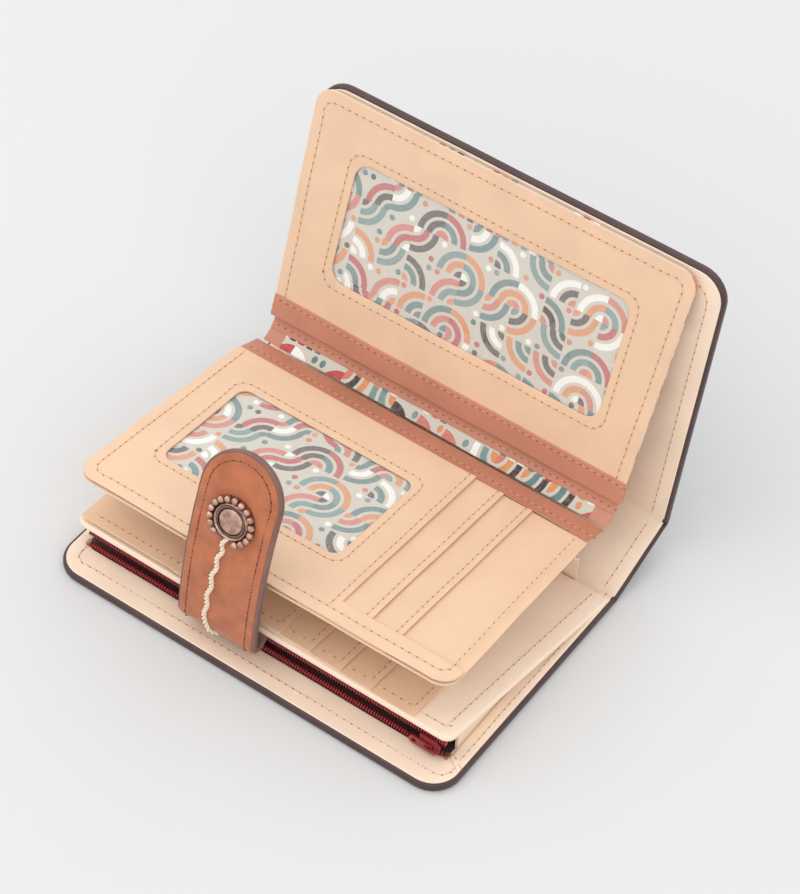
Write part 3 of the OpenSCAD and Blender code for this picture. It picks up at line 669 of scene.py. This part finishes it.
class WALLET_OT_cover(bpy.types.Operator):
    """Front panel, spine and back panel with their rolled edges, linings and stitches"""

    bl_idname = "wallet.cover"
    bl_label = "Cover"

    def execute(self, context):
        soft = context.scene.wallet.waviness
        x, lx = COVER_X, LINING_X
        front = rounded([(-x, -53), (x, -53), (x, 52.6), (-x, 52.6)], [11, 11, 0, 0])
        wave = raised(lambda p: 0.12 * soft * max(0.0, p.z - 1) * ripple(p.x, p.y, 1))
        plate("Front Cover", front, 0, 3.2, FLOOR, "Plum", "front_panel", ["front_cover"],
              bevel=0.9, grid=9)
        edge = JOINT["zip_slide"].y - 1.1
        sides = [(lx, 50.8), (74.7, 50.8), (74.7, edge), (-77.3, edge), (-77.3, 50.8), (-lx, 50.8)]
        lining = rounded([(-lx, -51.9), (lx, -51.9), *sides], [10, 10, 0, 0, 4, 4, 0, 0])
        plate("Front Lining", lining, 2.7, 3.55, FLOOR, "Lining", "front_panel", ["front_facing"],
              bevel=0.35, grid=7, bend=wave)
        line = rounded([(-76.5, -41.2), (-76.5, -46.8), (79.3, -46.8), (79.3, -41.5)], [0, 4, 5, 0])
        stitches("Front Lining Stitches", [on(FLOOR, split(line), 3.6)], "Thread", "front_panel")
        gusset = rounded([(76, -38.5), (81.5, -41.8), (81.5, 51), (76, 51)], 0)
        plate("Pocket Gusset", gusset, 3.4, 4.3, FLOOR, "Lining", "front_panel", (),
              bevel=0.4, grid=7, bend=wave)
        lines = [split([(79.3, -37), (79.3, 50)]), split([(76.4, -37), (80.6, -39.6)])]
        stitches("Gusset Stitches", [on(FLOOR, line, 4.32, wave) for line in lines], "Thread",
                 "front_panel")
        panel = rounded([(x, 106), (-x, 106), (-x, 0.4), (x, 0.4)], [11, 11, 0, 0])
        sag = raised(lambda p: 0.12 * soft * ripple(p.x, p.y, 4) * min(1, p.y / 20))
        plate("Back Cover", panel, 0, 3.2, PANEL, "Plum", "back_panel", ["back_cover"],
              bevel=0.9, grid=9, bend=sag)
        inner = rounded([(lx, 104.9), (-lx, 104.9), (-lx, 2.2), (lx, 2.2)], [10, 10, 0, 0])
        plate("Back Lining", inner, 2.7, 3.5, PANEL, "Lining", "back_panel", ["back_lining"],
              bevel=0.35, grid=7, bend=sag)
        line = rounded([(SEAM_X, 3), (SEAM_X, 100), (-SEAM_X, 100), (-SEAM_X, 3)], [0, 7, 7, 0])
        stitches("Back Lining Stitches", [on(PANEL, split(line), 3.55, sag)], "Thread", "back_panel")
        self.spine(soft)
        self.folds()
        repaint("Board", "front_board", "back_board")
        repaint("Aged Metal", "stud_cap", "stud_post")
        return {"FINISHED"}

    def strip(self, name, path, mat, slot, thick, half, bodies):
        """A sheet that follows a path across a fold, baked in place in the shared frame."""
        line = spline([(p.y, p.z) for p in path])
        reach = sum((b - a).length for a, b in zip(line, line[1:]))

        def bend(p):
            c, n = along(line, p.y)
            return Vector((p.x, c.x - n.x * p.z, c.y - n.y * p.z))

        o = plate(name, box_outline(-half, half, 0, reach, 0), -thick / 2, thick / 2, FLOOR, mat, None, (),
                  bevel=0.15, grid=0.8, bend=bend)
        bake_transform(o)

    def folds(self):
        """Lining and leather strips over the two folds, inside and outside."""
        low = (FLOOR, SPINE), ("front_panel", "spine")
        high = (SPINE, BACK), ("spine", "back_panel")
        lining = "Lining", "lining_leather", 0.5, 81.0
        leather = "Plum", "outer_leather", 0.3, 82.3
        for name, fold, finish, marks in (
                ("Lower Fold Lining", low, lining, [(49.0, 3.35), (51.2, 3.1), (1.0, 1.75), (3.5, 1.35)]),
                ("Lower Fold Leather", low, leather,
                 [(50.0, 0.22), (52.2, 0.19), (1.2, -0.62), (3.0, -0.55)]),
                ("Upper Fold Lining", high, lining, [(29.5, 1.35), (32.5, 1.7), (1.5, 2.5), (4.5, 2.35)]),
                ("Upper Fold Leather", high, leather,
                 [(32.5, -0.55), (34.2, -0.66), (0.8, -0.66), (3.0, -0.5)])):
            (start, end), bodies = fold
            path = [place @ Vector((0, y, z)) for place, (y, z) in zip((start, start, end, end), marks)]
            self.strip(name, path, *finish, bodies)

    def spine(self, soft):
        """Spine leather, its lining and its two short rows of stitches."""
        outer = box_outline(-COVER_X, COVER_X, 0.2, 34.6, 0)
        plate("Spine Cover", outer, -0.7, 0.7, SPINE, "Plum", "spine", ["spine_cover"],
              bevel=0.4, grid=8)
        inner = box_outline(-LINING_X, LINING_X, 1.2, 33.4, 0)
        flat_edge = lambda y: max(0, min(1, (y - 3) / 6, (31 - y) / 6))
        puff = raised(lambda p: 0.1 * soft * ripple(p.x * 2, p.y * 3, 6) * flat_edge(p.y))
        plate("Spine Lining", inner, 0.75, 1.5, SPINE, "Lining", "spine", ["spine_lining"],
              bevel=0.3, grid=4, bend=puff)
        lines = [on(SPINE, split([(x, 3), (x, 31)]), 1.55, puff) for x in (-SEAM_X, SEAM_X)]
        stitches("Spine Stitches", lines, "Thread", "spine")


# ---- the coin pocket and zip


class WALLET_OT_pocket(bpy.types.Operator):
    """Burgundy cloth, zip tapes and teeth, slider, and the pocket's ends"""

    bl_idname = "wallet.pocket"
    bl_label = "Coin pocket and zip"

    def execute(self, context):
        repaint("Burgundy Cloth", "coin_bag_floor", "coin_bag_top", "zip_tape_front", "zip_tape_back")
        repaint("Lining", "coin_gusset_left", "coin_gusset_right", "leaf_bellows")
        repaint("Aged Metal", "zip_end_stops")
        repaint("Zip Metal", "zip_slider", "zip_pull")
        pitch = context.scene.wallet.tooth_pitch / MM
        for name, z, body, row in (("Front Teeth", 4.0, "front_panel", "zip_teeth_front"),
                                   ("Back Teeth", 10.4, "card_page", "zip_teeth_back")):
            path = split([(-75.5, -38.8, z), (74, -38.8, z)])
            run(name, [path], pitch, 0.86, 1.1, "Teeth", body, [row], "Tooth")
        return {"FINISHED"}


# ---- the card page


class WALLET_OT_card_page(bpy.types.Operator):
    """Card page over the coin pocket: backing, stepped pockets and binding"""

    bl_idname = "wallet.card_page"
    bl_label = "Card page"

    def execute(self, context):
        n = CARD_DEPTH
        out = page_outline(-80.5, 76.5, -n, 0.3, 4, 0, 5)
        plate("Card Page Backing", out, -1.8, 0.6, PAGE, "Pale Edge", "card_page", ["card_page_backing"],
              bevel=0.8, grid=9)
        mouths = [6.5, 19, 31.5, 44, 61.5]
        lines = []
        for k, mouth in enumerate(mouths):
            top = 0.6 + (5 - k) * 0.45
            left = -79 if k == 0 else mouth - 58
            open_up = gape(lambda p: Vector(p), mouth, 0.5, -n + 1)
            o = box_outline(left, mouth, -n + 0.6, -1.5, 0.8)
            plate("Card Pocket %d" % (k + 1), o, top - 0.45, top, PAGE, "Page", "card_page",
                  ["card_pocket_%d" % (k + 1)], bevel=0.2, grid=3.5, bend=open_up)
            lines.append(on(PAGE, split([(mouth - 2.2, -n + 4.5), (mouth - 2.2, -6)]), top + 0.08, open_up))
            start = -74 if k == 0 else mouths[k - 1] + 1.6
            lines.append(on(PAGE, split([(start, -n + 4.5), (mouth - 2.2, -n + 4.5)]), top + 0.08))
        lines.append(on(PAGE, split([(63, -n + 4.5), (72, -n + 4.5), (75.5, -4)]), 0.68))
        stitches("Card Page Stitches", lines, "Thread", "card_page")
        repaint("Terracotta", "card_page_trim")
        return {"FINISHED"}


# ---- the leaf


class WALLET_OT_leaf(bpy.types.Operator):
    """Leaf over the card page: window, film, print, pockets and the binding flap behind it"""

    bl_idname = "wallet.leaf"
    bl_label = "Leaf"

    def execute(self, context):
        soft = context.scene.wallet.waviness
        x0, x1, d, i = PAGE_LEFT, PAGE_RIGHT, LEAF_DEPTH, SEAM_INSET
        curl = lambda p: 0.7 * soft * max(0.0, (p.x - 5) / 68) ** 1.6 * max(0.0, -p.y / 90) ** 1.3
        sag = raised(lambda p: curl(p) + 0.35 * soft * ripple(p.x, p.y, 9) * min(1, -p.y / 40))
        back = page_outline(x0, x1, -d, -0.8, 7, PAGE_TAPER, 0, 0.3)
        plate("Leaf Back", back, -1.3, -0.6, LEAF, "Pale Edge", "leaf", ["leaf_back_sheet"],
              bevel=0.3, grid=9, bend=sag)
        core = page_outline(x0, x1, -d, -0.8, 7, PAGE_TAPER)
        plate("Leaf Core", core, -0.7, 0.0, LEAF, "Page", "leaf", ["leaf_core"], bevel=0.3,
              grid=9, bend=sag)
        for k, mouth in ((3, 47.6), (2, 35.8)):
            top = 0.9 - (k - 2) * 0.5
            o = rounded([(12, -d + 0.6), (mouth, -d + 0.6), (mouth, -0.9), (12, -0.9)], 0)
            plate("Leaf Pocket %d" % k, o, top - 0.5, top, LEAF, "Page", "leaf", ["leaf_pocket_%d" % k],
                  bevel=0.2, grid=3.5, bend=gape(sag, mouth, 0.6, -d + 8))
        window = box_outline(-64, 10, -65, -18, 4)
        gape_front = lambda p: gape(sag, 24, 0.4, -d + 9.5)(p) if p.x < 24.1 else sag(p)
        front = rounded([(x0, -d), (x1, -d), (x1 - 0.3, -d + 9.5), (24, -d + 9.5), (24, -0.8),
                         (x0 + PAGE_TAPER, -0.8)], [7, 7, 0, 0, 0, 0])
        plate("Leaf Front", front, 0.9, 1.7, LEAF, "Page", "leaf", ["leaf_front"],
              holes=[window], bevel=0.3, grid=3.5, bend=gape_front)
        pane = box_outline(-68, 14, -69, -14, 2)
        for name, z0, z1, layer, slot, bevel in (
                ("Film", 0.72, 0.88, "film", "window_film", 0.05),
                ("Print", 0.1, 0.6, "window_lining", "printed_cloth", 0.1)):
            plate("Leaf " + name, pane, z0, z1, LEAF, name, "leaf", ["leaf_" + layer], bevel=bevel,
                  grid=9, bend=sag)
        lines = [
            split(rounded([(x0 + 6.5, -3), (x0 + i, -d + i), (x1 - i, -d + i), (x1 - 6.5, -3)],
                          [0, 4, 4, 0])),
            split(box_outline(-67, 13, -68, -15, 5), closed=True),
        ]
        tops = [(24, 1.75, 0.4, -d + 9.5), (35.8, 0.98, 0.6, -d + 8), (47.6, 0.48, 0.6, -d + 8)]
        runs = [on(LEAF, line, 1.76, sag) for line in lines]
        runs += [on(LEAF, split([(m - 2.4, -d + 6), (m - 2.4, -3)]), z, gape(sag, m, lift, low))
                 for m, z, lift, low in tops]
        stitches("Leaf Stitches", runs, "Thread", "leaf")
        flap = box_outline(-79.2, 70.2, -0.4, 11.0, 0.2)
        plate("Leaf Flap", flap, -0.3, 0.45, FLAP, "Terracotta", "flap", ["leaf_flap"],
              bevel=0.35, grid=9)
        stitches("Flap Stitches", [on(FLAP, split([(-78, 3.2), (69, 3.2)]), 0.5)], "Rose Thread", "flap")
        return {"FINISHED"}


# ---- the window page


class WALLET_OT_window_page(bpy.types.Operator):
    """Window page on the back panel: window, film, print, binding and the cloth below it"""

    bl_idname = "wallet.window_page"
    bl_label = "Window page"

    def execute(self, context):
        soft = context.scene.wallet.waviness
        x0, x1, d, m = PAGE_LEFT, PAGE_RIGHT, WINDOW_DEPTH, SEAM_INSET
        curve = lambda p: 5.2 * max(0, (-d - p.y) / HANG) ** 2
        sag = raised(lambda p: 0.4 * soft * ripple(p.x, p.y, 13) * min(1, -p.y / 50) + curve(p))
        low0, low1 = x0 + PAGE_TAPER, x1 - PAGE_TAPER
        shape = lambda i: rounded([(x1 - i, -i), (x0 + i, -i), (low0 + i, -d), (low1 - i, -d)],
                                  [7 - i, 7 - i, 0, 0])
        window = box_outline(-60, 53, -68.5, -20.5, 6)
        cloth, pane = box_outline(-66, 59, -74, -15, 3), box_outline(-64, 57, -72, -17, 2)
        for name, outline, z0, z1, mat, layer, slot, bevel in (
                ("Back", shape(0.3), -1.15, -0.3, "Print", "back", "printed_cloth", 0.3),
                ("Print", cloth, -0.3, 0.0, "Print", "lining", "printed_cloth", 0.1),
                ("Film", pane, 0.04, 0.18, "Film", "film", "window_film", 0.05)):
            plate("Window Page " + name, outline, z0, z1, REAR, mat, "window_page", ["window_page_" + layer],
                  bevel=bevel, grid=9, bend=sag)
        plate("Window Page Front", shape(0), 0.2, 1.0, REAR, "Page", "window_page", ["window_page_front"],
              holes=[window], bevel=0.3, grid=6, bend=sag)
        lines = [
            split(rounded([(x1 - 6.6, -d + 8), (x1 - m, -m), (x0 + m, -m), (x0 + 6.6, -d + 8)],
                          [0, 4, 4, 0])),
            split(box_outline(-63, 56, -71.5, -17.5, 6), closed=True),
        ]
        stitches("Window Page Stitches", [on(REAR, line, 1.06, sag) for line in lines], "Thread",
                 "window_page")
        strip = box_outline(-79.6, 70.6, -d, -d + 9, 0.6)
        plate("Window Page Binding", strip, -1.35, 1.5, REAR, "Terracotta", "window_page",
              ["window_page_trim"], bevel=0.5, grid=9, bend=sag)
        stitches("Binding Stitches", [on(REAR, split([(-78, -d + 7.3), (69, -d + 7.3)]), 1.56, sag)],
                 "Rose Thread", "window_page")
        hang = box_outline(-71.2, 62.2, -d - HANG, -d - 0.3, 0.2)
        plate("Bill Sheet", hang, -1.5, -0.9, REAR, "Print", "window_page", ["bill_sheet"],
              bevel=0.2, grid=1.5, bend=sag)
        hem = box_outline(-78.2, 69.2, -d - 4.8, -d - 0.2, 0.3)
        plate("Binding Hem", hem, -0.86, -0.4, REAR, "Terracotta", "window_page", (),
              bevel=0.2, grid=2, bend=sag)
        stitches("Hem Stitches", [on(REAR, split([(-77, -d - 3), (68, -d - 3)]), -0.34, sag)],
                 "Rose Thread", "window_page")
        for k, (a, b) in enumerate(((-78.2, -71), (62, 69.2))):
            end = box_outline(a, b, -d - HANG, -d - 0.3, 0.2)
            nodes = ["bill_sheet_ends"] if k == 0 else []
            plate("Bill Sheet End %d" % (k + 1), end, -1.55, -0.85, REAR, "Terracotta", "window_page",
                  nodes, bevel=0.25, grid=1.5, bend=sag)
        return {"FINISHED"}


# ---- the strap


def strap_curve(s):
    """Point and outward normal of the strap's middle line, in Y and Z, at a distance from its base."""
    if s >= 0:
        a0 = math.radians(STRAP_TURN)
        a = a0 - s / STRAP_R
        y = STRAP_BASE.y + STRAP_R * (math.sin(a0) - math.sin(a))
        z = STRAP_BASE.z + STRAP_R * (math.cos(a) - math.cos(a0))
        return Vector((y, z)), Vector((-math.sin(a), math.cos(a)))
    return along(ROOT_LINE, -s)


# The strap's hidden root in Y and Z, from its base down and back under the card page.
ROOT_LINE = spline([(STRAP_BASE.y, STRAP_BASE.z), (-47.2, 12.6), (-46.0, 10.9), (-44.3, 10.5),
                    (-42.6, 11.2), (-41.4, 12.6), (-39.5, 13.6), (-36, 13.5), (-30, 12.75), (-24, 12.0)])


def strap_bend(p):
    """From the strap laid flat (x, distance, height) to where it stands."""
    c, n = strap_curve(p.y)
    thin = 1.0 if p.y >= -2 else max(0.42, 1 + (p.y + 2) * 0.06)
    return Vector((p.x + STRAP_X, c.x + n.x * p.z * thin, c.y + n.y * p.z * thin))


def strap_outline(inset):
    """The strap laid flat, from its hidden root to its round tip."""
    base = -22
    w = STRAP_W - inset
    top = STRAP_L - STRAP_W
    pts = [(-w, base), (w, base)]
    pts += [(w * math.cos(t), top + w * math.sin(t)) for t in (math.pi * k / 28 for k in range(29))]
    return pts


# Where the strap's bend starts and ends, in metres.
STRAP_BLEND = ("card_page", "strap", (STRAP_X * MM, -0.0445, 0.0115), (STRAP_X * MM, -0.0474, 0.0165))


class WALLET_OT_strap(bpy.types.Operator):
    """Suede closing strap with its painted edge, dark stitches and the twisted cord"""

    bl_idname = "wallet.strap"
    bl_label = "Strap"

    def execute(self, context):
        core = plate("Strap Core", strap_outline(0), -1.45, 1.2, FLOOR, "Edge Paint", None,
                     ["strap_lining", "strap_root"], bevel=0.6, grid=2.2, bend=strap_bend)
        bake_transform(core)
        nap = raised(lambda p: 0.18 * ripple(p.x * 3, p.y * 3, 2))
        face = plate("Strap Face", strap_outline(0.95), 0.7, 1.62, FLOOR, "Suede", None, ["strap_face"],
                     bevel=0.4, grid=2.2, bend=lambda p: strap_bend(nap(p)))
        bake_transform(face)
        w, top = 12.4, STRAP_L - STRAP_W
        tip = [(-w * math.cos(t), top + w * math.sin(t)) for t in (math.pi * k / 24 for k in range(1, 24))]
        path = [(-w, -6), (-w, top), *tip, (w, top), (w, -6)]
        stitches("Strap Stitches", [on(FLOOR, split(path, 1.0), 1.62, strap_bend)], "Dark Thread", None,
                 STRAP_BLEND)
        self.cord()
        return {"FINISHED"}

    def cord(self):
        """Two strands wound round a wandering line from the button to the bend."""
        line = spline([(0.2, 39.3, 2.3), (-1.6, 36.2, 2.3), (-0.9, 33, 2.2), (-2.4, 29.5, 2.2),
                       (-1.9, 25.5, 2.2), (-3.3, 21.5, 2.2), (-2.7, 17, 2.2), (-4.0, 12.5, 2.2),
                       (-3.4, 8, 2.2), (-4.3, 4, 2.2), (-3.6, 0.5, 2.2), (-1.8, -3, 2.2),
                       (0.8, -5.8, 2.1)], 14)
        lay, wind, strand = 3.2, 0.44, 0.52
        strands = []
        for turn in (0, math.pi):
            pts, s = [], 0.0
            for k, p in enumerate(line):
                if k:
                    s += (p - line[k - 1]).length
                a = s * 2 * math.pi / lay + turn
                q = Vector((p.x + wind * math.cos(a), p.y, p.z + wind * math.sin(a)))
                pts.append(strap_bend(q))
            strands.append(pts)
        o = tube("Strap Cord", strands, strand, "Cord", None, ["strap_cord"])
        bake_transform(o)


class WALLET_OT_button(bpy.types.Operator):
    """Beaded metal button with a plain centre, and its socket"""

    bl_idname = "wallet.button"
    bl_label = "Button"

    def execute(self, context):
        s = STRAP_L - BUTTON_INSET
        c, n = strap_curve(s)
        a = math.degrees(math.atan2(n.y, -n.x))
        place = at(STRAP_X, c.x, c.y) @ rx(90 - a) @ at(0, 0, 1.5)
        # The flange takes the darker metal copy: painted shade under the ring of beads.
        lathe("Button Flange", [(0, 0), (8.9, 0), (8.9, 0.25), (8.5, 0.4), (0, 0.42)], place, "Dark Metal",
              "strap", ())
        profile = [(0, 0.1), (6.9, 0.1), (6.8, 1.5), (6.3, 1.95), (5.7, 1.6), (5.4, 1.0), (5.0, 0.9),
                   (4.7, 1.3), (4.3, 1.9), (3.7, 2.05), (2.3, 2.3), (0, 2.45)]
        lathe("Button Disc", profile, place, "Aged Metal", "strap", ["button_cap"])
        count = context.scene.wallet.bead_count
        open_at, open_beads = math.radians(262), 2.4  # the ring of beads is open at its lower edge
        step = 2 * math.pi / (count + open_beads)
        start = open_at + 1.7 * step
        ring, rise, bead = 8.2, 1.5, 1.3
        spots = []
        for k in range(count):
            t = start + k * step
            p = place @ Vector((ring * math.cos(t), ring * math.sin(t), rise))
            spots.append([p, p + Vector((0, 0, 0.02))])
        run("Button Beads", spots, 5, 2 * bead, bead, "Aged Metal", "strap", ["button_beads"],
            "Ball")
        rope, wind, turns, points = 5.35, 0.26, 26, 260
        twist = []
        for half in (0, math.pi):
            pts = []
            for t in (2 * math.pi * k / points for k in range(points)):
                r = rope + wind * math.cos(t * turns + half)
                pts.append(place @ Vector((r * math.cos(t), r * math.sin(t),
                                           1.45 + wind * math.sin(t * turns + half))))
            twist.append(pts)
        # The rope ring takes the darker metal copy: painted shade round the beads.
        tube("Button Rope Ring", twist, 0.3, "Dark Metal", "strap", closed=True)
        repaint("Aged Metal", "button_socket")
        return {"FINISHED"}


# ---- stage, camera, light


class WALLET_OT_stage(bpy.types.Operator):
    """Pale floor, soft lights and the camera at the photograph's angle"""

    bl_idname = "wallet.stage"
    bl_label = "Stage"

    def execute(self, context):
        scene = context.scene
        scene.view_settings.view_transform = "Standard"
        bpy.ops.mesh.primitive_plane_add(size=8, location=(0, 0, -0.0002))
        floor = context.active_object
        floor.name = "Studio_Floor"
        m, p = principled("Studio Floor", Base_Color=(0.67, 0.67, 0.67, 1), Roughness=0.9)
        floor.data.materials.append(m)
        lamps = (("Key", (-0.75, -0.35, 1.25), 6.0), ("Fill", (0.9, -0.9, 1.0), 3.8),
                 ("Back", (0.1, 1.2, 1.1), 2.6))
        for name, pos, power in lamps:
            data = bpy.data.lights.new(name, "AREA")
            data.size, data.energy = 1.4, power
            o = bpy.data.objects.new(name, data)
            o.location = pos
            o.rotation_euler = (Vector((0, 0.02, 0.04)) - Vector(pos)).to_track_quat("-Z", "Y").to_euler()
            scene.collection.objects.link(o)
        world = bpy.data.worlds.new("Studio")
        world.use_nodes = True
        world.node_tree.nodes["Background"].inputs[0].default_value = (1, 1, 1, 1)
        world.node_tree.nodes["Background"].inputs[1].default_value = 1.0
        scene.world = world
        cam = bpy.data.cameras.new("Camera")
        cam.sensor_fit, cam.sensor_width, cam.lens = "HORIZONTAL", 36, 140.44
        cam.clip_start, cam.clip_end = 0.01, 50
        o = bpy.data.objects.new("Camera", cam)
        # The camera's axes and place, fitted to the photograph.
        right = (0.81507, 0.57738, 0.04788)
        down = (0.45479, -0.58644, -0.67026)
        ahead = (-0.35891, 0.56809, -0.74058)
        m = Matrix([(right[k], -down[k], -ahead[k]) for k in range(3)]).to_4x4()
        m.translation = (0.385217, -0.572583, 0.833918)
        scene.collection.objects.link(o)
        o.matrix_world = m
        scene.camera = o
        return {"FINISHED"}


class WALLET_PT_panel(bpy.types.Panel):
    """Settings and one button per group of pieces"""

    bl_idname = "WALLET_PT_panel"
    bl_label = "Wallet"
    bl_space_type = "VIEW_3D"
    bl_region_type = "UI"
    bl_category = "Wallet"

    def draw(self, context):
        s = context.scene.wallet
        for name in WalletSettings.__annotations__:
            self.layout.prop(s, name)
        for op in OPERATORS:
            self.layout.operator(op.bl_idname)


OPERATORS = (WALLET_OT_stage, WALLET_OT_cover, WALLET_OT_pocket, WALLET_OT_card_page, WALLET_OT_leaf,
             WALLET_OT_window_page, WALLET_OT_strap, WALLET_OT_button)
CLASSES = (WalletSettings, *OPERATORS, WALLET_PT_panel)


def register():
    for c in CLASSES:
        bpy.utils.register_class(c)
    bpy.types.Scene.wallet = bpy.props.PointerProperty(type=WalletSettings)


def unregister():
    del bpy.types.Scene.wallet
    for c in reversed(CLASSES):
        bpy.utils.unregister_class(c)


def main():
    """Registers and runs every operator."""
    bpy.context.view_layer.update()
    register()
    make_materials()
    for op in OPERATORS:
        getattr(bpy.ops.wallet, op.bl_idname.split(".")[1])()


if __name__ == "__main__":
    main()
